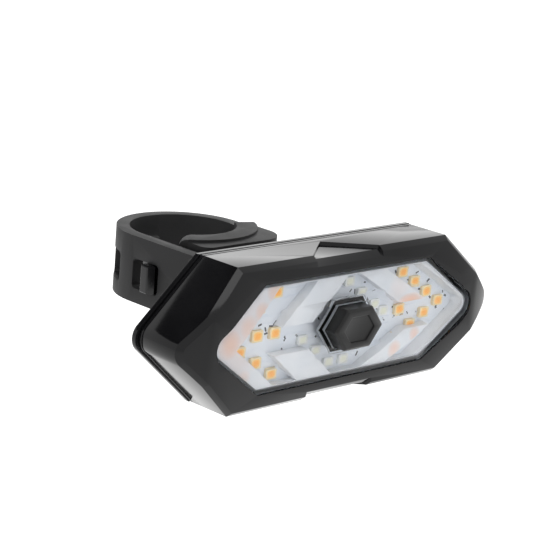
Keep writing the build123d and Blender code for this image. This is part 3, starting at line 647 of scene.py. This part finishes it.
class Finish(Enum):
    """Every finish of the light."""

    SHELL = MouldedPlastic("gloss_black_shell", (0.0035, 0.0035, 0.004), 0.1, 0.5, 0.0005, 0.05)
    COVER = MouldedPlastic("gloss_black_cover", (0.0035, 0.0035, 0.004), 0.13, 0.5, 0.0006, 0.06)
    BRACKET = MouldedPlastic("satin_black_bracket", (0.005, 0.005, 0.0055), 0.24, 0.3, 0.0015, 0.12, 1.42)
    BUTTON = MouldedPlastic("satin_black_button", (0.005, 0.005, 0.005), 0.3, 0.22, 0.0012, 0.1, 1.36)
    EPOXY = MouldedPlastic("black_epoxy", (0.015, 0.015, 0.016), 0.55, 0.15, 0.003, 0.15)
    INK = MouldedPlastic("printed_ink", (0.03, 0.035, 0.045), 0.5, 0.15, 0.0005, 0.1)
    STRAP = SoftRubber("strap_rubber_skin", (0.006, 0.006, 0.0065), (0.016, 0.016, 0.0165))
    SEAL = SoftRubber("seal_rubber_skin", (0.008, 0.008, 0.008), (0.016, 0.016, 0.016), 0.5)
    CLEAR_SEAL = SoftRubber("clear_silicone_skin", (0.55, 0.57, 0.60), (0.66, 0.68, 0.70), 0.4)
    FOAM = SoftRubber("foam_tape", (0.03, 0.03, 0.032), (0.07, 0.07, 0.07), 0.9, 0.3, 0.03)
    WIRE = SoftRubber("wire_cover", (0.45, 0.03, 0.025), (0.55, 0.06, 0.05), 0.45, 0.2, 0.004)
    LENS = ClearPlastic("clear_lens", (0.985, 0.99, 1.0))
    LENS_EDGE = ClearPlastic("frosted_lens_edge", (0.62, 0.66, 0.70), 0.3, 0.2)
    MILKY = MilkyPlastic("milky_reflector", (0.90, 0.93, 0.965), (0.82, 0.86, 0.91), painted_glows=PAINTED_GLOWS)
    TRAY = MilkyPlastic("source_tray", (0.98, 0.80, 0.50), (0.94, 0.74, 0.42), 0.35)
    PALE_TRAY = MilkyPlastic("pale_source_tray", (0.90, 0.92, 0.90), (0.84, 0.86, 0.84), 0.35)
    MASK = BoardMask("white_board_mask", (0.84, 0.89, 0.95), (0.74, 0.80, 0.88))
    AMBER = Phosphor("amber_phosphor", (1.0, 0.42, 0.03), (1.0, 0.66, 0.24), 0.12)
    PALE = Phosphor("pale_phosphor", (0.86, 0.87, 0.70), (0.88, 0.90, 0.82), 0.0)
    TIN = Metal("tinned_sheet", (0.62, 0.62, 0.60), 0.32)
    STEEL = Metal("plated_steel", (0.50, 0.50, 0.50), 0.28)
    FOIL = Metal("cell_foil", (0.55, 0.57, 0.60), 0.42, 0.3)

    def paint(self) -> bpy.types.Material:
        """The finish's material, made once."""
        return bpy.data.materials.get(self.value.name) or self.value.material()


def wear(piece: bpy.types.Object, finish: Finish) -> None:
    """Give a whole piece one finish."""
    if not piece.material_slots:
        piece.data.materials.append(finish.paint())
    for held in piece.material_slots:
        held.material = finish.paint()


def dress_node(name: str, finish: Finish) -> None:
    """Give a carried-over node its finish."""
    wear(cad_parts[name], finish)
    LOG.info("dressed node %s", name)


def shade(mesh: bpy.types.Mesh, sharp_degrees: float) -> None:
    """Shade smooth, with edges sharper than an angle kept crisp."""
    work = bmesh.new()
    work.from_mesh(mesh)
    limit = math.radians(sharp_degrees)
    for face in work.faces:
        face.smooth = True
    for edge in work.edges:
        edge.smooth = edge.calc_face_angle(math.pi) < limit
    work.to_mesh(mesh)
    work.free()


def evaluated_mesh(piece: bpy.types.Object) -> None:
    """Turn a piece's modifiers into its plain mesh."""
    graph = bpy.context.evaluated_depsgraph_get()
    graph.update()
    made = bpy.data.meshes.new_from_object(piece.evaluated_get(graph))
    piece.modifiers.clear()
    piece.data = made


def add_piece(name: str, mesh: bpy.types.Mesh) -> bpy.types.Object:
    """Put a mesh into the scene as a piece of its own."""
    piece = bpy.data.objects.new(name, mesh)
    bpy.context.collection.objects.link(piece)
    return piece


def settle(piece: bpy.types.Object, body: Body, replaced: Iterable[str] = ()) -> bpy.types.Object:
    """Fasten a finished piece to its body.

    Args:
        piece: the finished piece.
        body: the body that it moves with.
        replaced: nodes that it stands for.

    Returns:
        The same piece.
    """
    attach(piece, body.value)
    if replaced:
        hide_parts(*replaced)
    LOG.info("made %s on %s, %d faces", piece.name, body.value, len(piece.data.polygons))
    return piece


def islands(node: str) -> list[tuple[Vector, Vector]]:
    """The lowest and highest corners of each separate solid of a node, in a fixed order."""
    work = bmesh.new()
    work.from_mesh(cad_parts[node].data)
    bmesh.ops.remove_doubles(work, verts=work.verts, dist=JOIN_DISTANCE)
    left = set(work.verts)
    found = []
    while left:
        group, edge_of_group = set(), [left.pop()]
        while edge_of_group:
            vertex = edge_of_group.pop()
            group.add(vertex)
            near = {edge.other_vert(vertex) for edge in vertex.link_edges} - group
            edge_of_group.extend(near)
            left -= near
        low = Vector([min(v.co[axis] for v in group) for axis in range(3)])
        high = Vector([max(v.co[axis] for v in group) for axis in range(3)])
        found.append((low, high))
    work.free()
    return sorted(found, key=lambda pair: (round(pair[0].x, 5), round(pair[0].z, 5)))


@dataclass(frozen=True)
class Rounding:
    """How the edges of a copied node are softened, in millimetres and degrees."""

    width: float
    segments: int = 3
    sharper_than: float = 24.0
    planar: float = 0.4


def merged_nodes(*nodes: str) -> bmesh.types.BMesh:
    """Copy nodes' meshes into one, with their loose triangles joined."""
    work = bmesh.new()
    for source in nodes:
        work.from_mesh(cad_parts[source].data)
    bmesh.ops.remove_doubles(work, verts=work.verts, dist=JOIN_DISTANCE)
    return work


def softened(work: bmesh.types.BMesh, name: str, rounding: Rounding) -> bpy.types.Object:
    """Turn a joined mesh into a piece with soft edges.

    Args:
        work: the joined mesh, which is freed.
        name: the new piece's name.
        rounding: the edges' softening.

    Returns:
        The new piece with a plain mesh.
    """
    bmesh.ops.dissolve_limit(
        work, angle_limit=math.radians(rounding.planar), verts=work.verts, edges=work.edges, delimit=set()
    )
    mesh = bpy.data.meshes.new(name)
    work.to_mesh(mesh)
    work.free()
    piece = add_piece(name, mesh)
    bevel = piece.modifiers.new("soft_edges", "BEVEL")
    bevel.width = rounding.width * MM
    bevel.segments = rounding.segments
    bevel.limit_method = "ANGLE"
    bevel.angle_limit = math.radians(rounding.sharper_than)
    bevel.use_clamp_overlap = True
    bevel.miter_outer = "MITER_ARC"
    evaluated_mesh(piece)
    shade(piece.data, SHARP_DEGREES)
    return piece


def rounded_copy(node: str, name: str, rounding: Rounding) -> bpy.types.Object:
    """Copy a node's mesh and soften its edges."""
    return softened(merged_nodes(node), name, rounding)


@dataclass
class Housing:
    """Glossy shell, rear cover, gasket and cover screws."""

    shell_rounding: Rounding = Rounding(0.35)
    cover_rounding: Rounding = Rounding(0.22)

    def build(self) -> None:
        """Make and dress the housing."""
        shell = rounded_copy("front_shell", "front_shell_skin", self.shell_rounding)
        wear(shell, Finish.SHELL)
        settle(shell, Body.LIGHT, ["front_shell"])
        cover = rounded_copy("rear_cover", "rear_cover_skin", self.cover_rounding)
        wear(cover, Finish.COVER)
        settle(cover, Body.LIGHT, ["rear_cover"])
        dress_node("cover_seal", Finish.SEAL)
        dress_node("cover_screws", Finish.STEEL)


@dataclass
class SourcePackages:
    """Light sources on the board: a moulded tray with a rounded phosphor pad, one for each CAD block."""

    corner: float = 0.35
    corner_steps: int = 3
    pad_share: float = 0.80
    pad_lift: float = 0.10
    pad_segments: int = 20
    pad_rings: int = 8
    squareness: float = 0.72
    jitter_degrees: float = 3.0

    def dress(self, node: str, name: str, slot: str, tray: Finish, pad: Finish, seed: int) -> None:
        """Replace a node's blocks by packages.

        Args:
            node: the CAD node.
            name: the new piece's name.
            slot: the record's material slot; not used.
            tray: finish of the moulded body.
            pad: finish of the phosphor pad.
            seed: seed of the small turns.
        """
        blocks = islands(node)
        low, high = blocks[0]
        sizes = {
            "Width": high.x - low.x,
            "Height": high.z - low.z,
            "Depth": high.y - low.y,
            "Corner": self.corner * MM,
            "Pad share": self.pad_share,
            "Pad lift": self.pad_lift * MM,
            "Squareness": self.squareness,
        }
        board = ShapeBoard(name + "_shape", sizes)
        body = self.body(board)
        dome = self.dome(board)
        turn = math.radians(self.jitter_degrees)
        angle = board.chance((math.pi / 2, -turn, 0.0), (math.pi / 2, turn, 0.0), seed)
        real = board.scatter(board.join(body, dome), angle, (1.0, 1.0, 1.0))
        is_pad = board.node("GeometryNodeInputNamedAttribute", {"data_type": "FLOAT"}, [IS_PAD])
        whole = board.finish(real, tray.paint())
        painted = board.finish(whole, pad.paint(), Formula(board, is_pad.outputs[0]) - 0.5)
        middles = [Vector(((a.x + b.x) / 2, b.y, (a.z + b.z) / 2)) for a, b in blocks]
        piece = board.make(name, middles, painted)
        shade(piece.data, SHARP_DEGREES)
        settle(piece, Body.LIGHT, [node])

    def body(self, board: ShapeBoard) -> bpy.types.NodeSocket:
        """The tray: a rounded rectangle raised to the package's depth and closed below."""
        sides = {"Width": board.size("Width"), "Height": board.size("Height")}
        outline = board.node("GeometryNodeCurvePrimitiveQuadrilateral", {}, sides)
        corners = {"Curve": outline.outputs[0], "Count": self.corner_steps, "Radius": board.size("Corner")}
        rounded = board.node("GeometryNodeFilletCurve", {"mode": "POLY"}, corners)
        flat = board.node("GeometryNodeFillCurve", {"mode": "NGONS"}, [rounded.outputs[0]]).outputs[0]
        lift = {"Mesh": flat, "Offset Scale": board.size("Depth")}
        raised = board.node("GeometryNodeExtrudeMesh", {"mode": "FACES"}, lift)
        under = board.node("GeometryNodeFlipFaces", {}, [flat]).outputs[0]
        halves = {"Geometry": board.join(raised.outputs[0], under), "Distance": JOIN_DISTANCE}
        return board.node("GeometryNodeMergeByDistance", {}, halves).outputs[0]

    def dome(self, board: ShapeBoard) -> bpy.types.NodeSocket:
        """The phosphor pad: a flat squarish dome whose points keep how far out they lie."""
        round_sizes = {"Segments": self.pad_segments, "Rings": self.pad_rings, "Radius": 1.0}
        ball = board.node("GeometryNodeMeshUVSphere", {}, round_sizes).outputs[0]
        where = board.node("GeometryNodeInputPosition").outputs[0]
        x, y, z = (Formula(board, out) for out in board.node("ShaderNodeSeparateXYZ", inputs=[where]).outputs)
        stored = board.node(
            "GeometryNodeStoreNamedAttribute",
            {"data_type": "FLOAT", "domain": "POINT"},
            {"Geometry": ball, "Name": FROM_MIDDLE, "Value": (x * x + y * y) ** 0.5},
        )
        marked = board.node(
            "GeometryNodeStoreNamedAttribute",
            {"data_type": "FLOAT", "domain": "FACE"},
            {"Geometry": stored.outputs[0], "Name": IS_PAD, "Value": 1.0},
        )
        power = board.size("Squareness")
        half = board.size("Pad share") * 0.5
        place = board.vector(
            x.sign() * x.size() ** power * board.size("Width") * half,
            y.sign() * y.size() ** power * board.size("Height") * half,
            z * board.size("Pad lift") + board.size("Depth"),
        )
        moved = {"Geometry": marked.outputs[0], "Position": place}
        return board.node("GeometryNodeSetPosition", {}, moved).outputs[0]


@dataclass
class PrintedMarks:
    """Short printed dashes beside the parts on the board."""

    length: float = 1.35
    width: float = 0.42
    thickness: float = 0.03
    sunk_share: float = 0.1
    smallest: Place = (0.4, 0.6, 1.0)
    largest: Place = (1.0, 1.2, 1.0)
    seed: int = 11
    places: tuple[Span, ...] = (
        (-19.9, 0.9), (-24.4, 1.0), (-22.4, -1.2), (-16.5, -3.1), (-17.1, -5.6), (-6.6, -4.1),
        (-6.1, 0.0), (-2.5, 3.2), (1.1, 7.0), (-22.6, -0.2), (-12.8, -3.0), (8.1, 6.6),
        (11.6, 3.9), (3.6, 5.2), (5.0, 4.8), (9.1, 2.4), (13.3, -0.4), (26.0, 6.8),
        (30.1, 4.2), (36.9, -0.2), (18.3, 7.9), (22.9, 5.3), (27.3, 2.6), (31.4, 0.1),
        (34.0, -2.7), (37.0, -3.8), (18.5, -0.6), (21.8, -2.8), (23.8, -2.7), (19.1, -3.0),
        (27.1, -3.0), (29.6, -6.0), (7.5, -10.2), (12.3, -10.6), (15.7, -3.2), (2.8, 3.6),
        (-21.0, 0.3), (35.4, -1.2), (35.9, 0.9),
    )  # fmt: skip

    def build(self) -> None:
        """Make the marks on the board's front."""
        low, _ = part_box("circuit_board")
        sizes = {"Length": self.length * MM, "Width": self.width * MM, "Thickness": self.thickness * MM}
        board = ShapeBoard("printed_mark_shape", sizes)
        size = board.vector(board.size("Length"), board.size("Width"), board.size("Thickness"))
        bar = board.node("GeometryNodeMeshCube", {}, [size]).outputs[0]
        angle = board.chance((math.pi / 2, 0.0, 0.0), (math.pi / 2, math.pi, 0.0), self.seed)
        scale = board.chance(self.smallest, self.largest, self.seed + 1)
        result = board.finish(board.scatter(bar, angle, scale), Finish.INK.paint())
        level = low.y - self.thickness * MM * (0.5 - self.sunk_share)
        spread = [Vector((x * MM, level, z * MM)) for x, z in self.places]
        marks = board.make("board_marks", spread, result)
        settle(marks, Body.LIGHT)


@dataclass
class LightEngine:
    """Lens, reflector, board and light sources."""

    lens_rounding: Rounding = Rounding(0.15, 2, 50.0)
    reflector_rounding: Rounding = Rounding(0.12, 2)
    wall_tilt: float = 0.3

    def build(self) -> None:
        """Make and dress the lens and what lies behind it."""
        self.build_lens()
        mirror = rounded_copy("reflector", "reflector_skin", self.reflector_rounding)
        wear(mirror, Finish.MILKY)
        settle(mirror, Body.LIGHT, ["reflector"])
        dress_node("lens_seal", Finish.CLEAR_SEAL)
        dress_node("circuit_board", Finish.MASK)
        dress_node("board_screws", Finish.STEEL)
        packages = SourcePackages()
        groups = (
            ("amber_leds_left", "amber_sources_left", "led_amber", Finish.TRAY, Finish.AMBER),
            ("amber_leds_right", "amber_sources_right", "led_amber", Finish.TRAY, Finish.AMBER),
            ("white_leds", "pale_sources", "led_white", Finish.PALE_TRAY, Finish.PALE),
        )
        for seed, group in enumerate(groups):
            packages.dress(*group, seed)
        PrintedMarks().build()
        for node in ("chip_resistors", "control_chip", "buzzer", "tact_switch", "switch_plunger"):
            dress_node(node, Finish.EPOXY)
        dress_node("radio_module", Finish.TIN)

    def build_lens(self) -> None:
        """Clear lens whose side walls are frosted."""
        lens = rounded_copy("lens", "lens_skin", self.lens_rounding)
        wear(lens, Finish.LENS)
        lens.data.materials.append(Finish.LENS_EDGE.paint())
        for face in lens.data.polygons:
            face.material_index = 1 if abs(face.normal.y) < self.wall_tilt else 0
        settle(lens, Body.LIGHT, ["lens"])


@dataclass
class PushButton:
    """Hexagonal cap and its soft ring."""

    rounding: Rounding = Rounding(0.18)

    def build(self) -> None:
        """Make and dress the button."""
        cap = rounded_copy("push_button", "push_button_cap", self.rounding)
        wear(cap, Finish.BUTTON)
        settle(cap, Body.BUTTON, ["push_button"])
        dress_node("button_seal", Finish.SEAL)


@dataclass
class PowerPack:
    """Cell, pad, leads, charging socket and its plug."""

    plug_rounding: Rounding = Rounding(0.3)
    tab_rounding: Rounding = Rounding(0.2)

    def build(self) -> None:
        """Dress the cell and the charging parts."""
        dress_node("battery", Finish.FOIL)
        dress_node("battery_pad", Finish.FOAM)
        dress_node("battery_leads", Finish.WIRE)
        dress_node("charging_socket", Finish.TIN)
        plug = rounded_copy("charging_plug", "charging_plug_skin", self.plug_rounding)
        wear(plug, Finish.SEAL)
        settle(plug, Body.PLUG, ["charging_plug"])
        tab = rounded_copy("plug_hinge", "plug_hinge_skin", self.tab_rounding)
        wear(tab, Finish.SEAL)
        settle(tab, Body.LIGHT, ["plug_hinge"])


@dataclass
class StrapClamp:
    """Bracket with its hook, rubber saddle and slotted strap."""

    bracket_rounding: Rounding = Rounding(0.4)
    saddle_rounding: Rounding = Rounding(0.9, 4)
    strap_rounding: Rounding = Rounding(0.45, 3)
    cut_near: float = 1.0
    cut_far: float = 1.2
    cut_reach: float = 0.05
    end_slack: float = 0.005
    bend_start: Place = (-14.5, 3.6, 0.0)
    bend_end: Place = (-18.1, -0.9, 0.0)

    def build(self) -> None:
        """Make and dress the clamp."""
        bracket = rounded_copy("mount_bracket", "mount_bracket_skin", self.bracket_rounding)
        wear(bracket, Finish.BRACKET)
        settle(bracket, Body.LIGHT, ["mount_bracket"])
        dress_node("bracket_screws", Finish.STEEL)
        saddle = rounded_copy("saddle_pad", "saddle_skin", self.saddle_rounding)
        wear(saddle, Finish.STRAP)
        settle(saddle, Body.LIGHT, ["saddle_pad"])
        self.build_band()

    def build_band(self) -> None:
        """One rubber band for the strap and its free end, joined where the CAD solids meet."""
        work = merged_nodes("strap", "strap_end")
        sizes = (self.cut_near, self.cut_far, self.cut_reach, self.end_slack)
        near, far, reach, slack = (v * MM for v in sizes)
        middle = (near + far) / 2
        left_side = [v for v in work.verts if v.co.x < 0]
        ends = [v for v in left_side if min(abs(v.co.y - near), abs(v.co.y - far)) < slack]
        caps = {f for v in ends for f in v.link_faces if all(w in ends for w in f.verts)}
        bmesh.ops.delete(work, geom=list(caps), context="FACES_ONLY")
        bmesh.ops.delete(work, geom=[e for e in work.edges if not e.link_faces], context="EDGES")
        for vertex in ends:
            vertex.co.y = middle
        bmesh.ops.remove_doubles(work, verts=ends, dist=reach)
        LOG.info("band has %d open edges", sum(1 for e in work.edges if len(e.link_faces) != 2))
        band = softened(work, "strap_band", self.strap_rounding)
        wear(band, Finish.STRAP)
        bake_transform(band)
        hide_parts("strap", "strap_end")
        LOG.info("made strap_band, %d faces", len(band.data.polygons))


@dataclass
class Studio:
    """Floor, world light, lamps and the camera at the photo's place."""

    camera_place: Place = (-307.36, -342.46, 118.80)
    azimuth: float = -44.78
    elevation: float = 14.72
    roll: float = 4.79
    lens: float = 125.67
    sensor_width: float = 36.0
    clip_start: float = 0.01
    clip_end: float = 50.0
    floor_drop: float = 150.0
    floor_size: float = 6000.0
    floor_lift: float = 0.3
    world_light: float = 0.97
    top_place: Place = (-200.0, -200.0, 900.0)
    top_size: Span = (900.0, 600.0)
    top_power: float = 4.0
    rear_place: Place = (900.0, 1000.0, 520.0)
    rear_size: Span = (1500.0, 620.0)
    rear_power: float = 2.6
    flag_place: Place = (-400.0, 450.0, 800.0)
    flag_size: float = 1500.0

    def build(self) -> None:
        """Make the studio."""
        self.make_floor()
        self.make_world()
        self.make_lamps()
        self.make_flag()
        self.make_camera()

    def make_floor(self) -> None:
        """Plain pale floor that shows as white, with the object's shadow kept."""
        board = NodeBoard("pale_floor")
        cloud = board.noise(300.0, 2.0)
        lift = board.mix(board.seen_rays(), (0.0, 0.0, 0.0), (self.floor_lift,) * 3)
        paint = board.surface(
            {
                "Base Color": board.mix(cloud, (0.86, 0.86, 0.86), (0.88, 0.88, 0.88)),
                "Roughness": 0.9,
                "Emission Color": lift,
                "Emission Strength": 1.0,
            }
        )
        self.make_card("studio_floor", (0.0, 0.0, -self.floor_drop), self.floor_size, paint)

    def make_world(self) -> None:
        """White surroundings, a little dimmer as light than as background."""
        world = bpy.data.worlds.new("white_room")
        bpy.context.scene.world = world
        world.use_nodes = True
        board = Board(world.node_tree)
        board.tree.nodes.clear()
        strength = self.world_light + board.seen_rays() * (1.0 - self.world_light)
        back = board.node("ShaderNodeBackground", {}, {"Color": (1.0, 1.0, 1.0), "Strength": strength})
        board.node("ShaderNodeOutputWorld", {}, {"Surface": back.outputs[0]})

    def make_lamps(self) -> None:
        """A large soft lamp above and a wide panel far behind, which the top faces mirror."""
        self.make_panel("top_softbox", self.top_place, self.top_size, self.top_power)
        self.make_panel("rear_panel", self.rear_place, self.rear_size, self.rear_power)

    def make_flag(self) -> None:
        """Dark card overhead that only reflections see, so that the steep black faces stay deep."""
        board = NodeBoard("flag_cloth")
        cloth = board.mix(board.noise(80.0), (0.02, 0.02, 0.02), (0.03, 0.03, 0.03))
        paint = board.surface({"Base Color": cloth, "Roughness": 0.9})
        flag = self.make_card("studio_flag", self.flag_place, self.flag_size, paint, upward=False)
        flag.visible_camera = False
        flag.visible_diffuse = False
        flag.visible_transmission = False
        flag.visible_shadow = False

    def make_card(
        self, name: str, place: Place, size: float, paint: bpy.types.Material, upward: bool = True
    ) -> bpy.types.Object:
        """Add a level square card.

        Args:
            name: the card's name.
            place: its middle, in millimetres.
            size: its side, in millimetres.
            paint: its material.
            upward: whether its face looks up.

        Returns:
            The card.
        """
        middle, half = Vector(place) * MM, size / 2 * MM
        corners = [(-half, -half), (half, -half), (half, half), (-half, half)]
        mesh = bpy.data.meshes.new(name)
        face = (0, 1, 2, 3) if upward else (3, 2, 1, 0)
        mesh.from_pydata([(middle.x + x, middle.y + y, middle.z) for x, y in corners], [], [face])
        mesh.materials.append(paint)
        return add_piece(name, mesh)

    def make_panel(self, name: str, place: Place, size: Span, power: float) -> None:
        """Add one rectangular lamp that faces the object.

        Args:
            name: the lamp's name.
            place: its middle, in millimetres.
            size: its width and height, in millimetres.
            power: its power in watts.
        """
        light = bpy.data.lights.new(name, "AREA")
        light.shape = "RECTANGLE"
        light.size, light.size_y = (v * MM for v in size)
        light.energy = power
        lamp = bpy.data.objects.new(name, light)
        bpy.context.collection.objects.link(lamp)
        lamp.location = Vector(place) * MM
        lamp.rotation_mode = "QUATERNION"
        lamp.rotation_quaternion = (-lamp.location).to_track_quat("-Z", "Y")
        lamp.visible_camera = False

    def make_camera(self) -> None:
        """Camera at the photo's place and roll."""
        az, el, roll = (math.radians(v) for v in (self.azimuth, self.elevation, self.roll))
        back = Vector((math.sin(az) * math.cos(el), -math.cos(az) * math.cos(el), math.sin(el)))
        right = (-back).cross(Vector((0, 0, 1))).normalized()
        up = right.cross(-back)
        turned_right = math.cos(roll) * right + math.sin(roll) * up
        turned_up = -math.sin(roll) * right + math.cos(roll) * up
        data = bpy.data.cameras.new("photo_camera")
        data.lens = self.lens
        data.sensor_width = self.sensor_width
        data.clip_start = self.clip_start
        data.clip_end = self.clip_end
        camera = bpy.data.objects.new("photo_camera", data)
        bpy.context.collection.objects.link(camera)
        turn = Matrix((turned_right, turned_up, back)).transposed()
        camera.matrix_world = Matrix.Translation(Vector(self.camera_place) * MM) @ turn.to_4x4()
        bpy.context.scene.camera = camera


def main() -> None:
    """Build the light's sub-assemblies and the studio."""
    logging.basicConfig(level=logging.INFO, format="%(name)s: %(message)s")
    for assembly in (Housing(), LightEngine(), PushButton(), PowerPack(), StrapClamp(), Studio()):
        assembly.build()
    bpy.context.scene.view_settings.view_transform = "Standard"


if __name__ == "__main__":
    main()
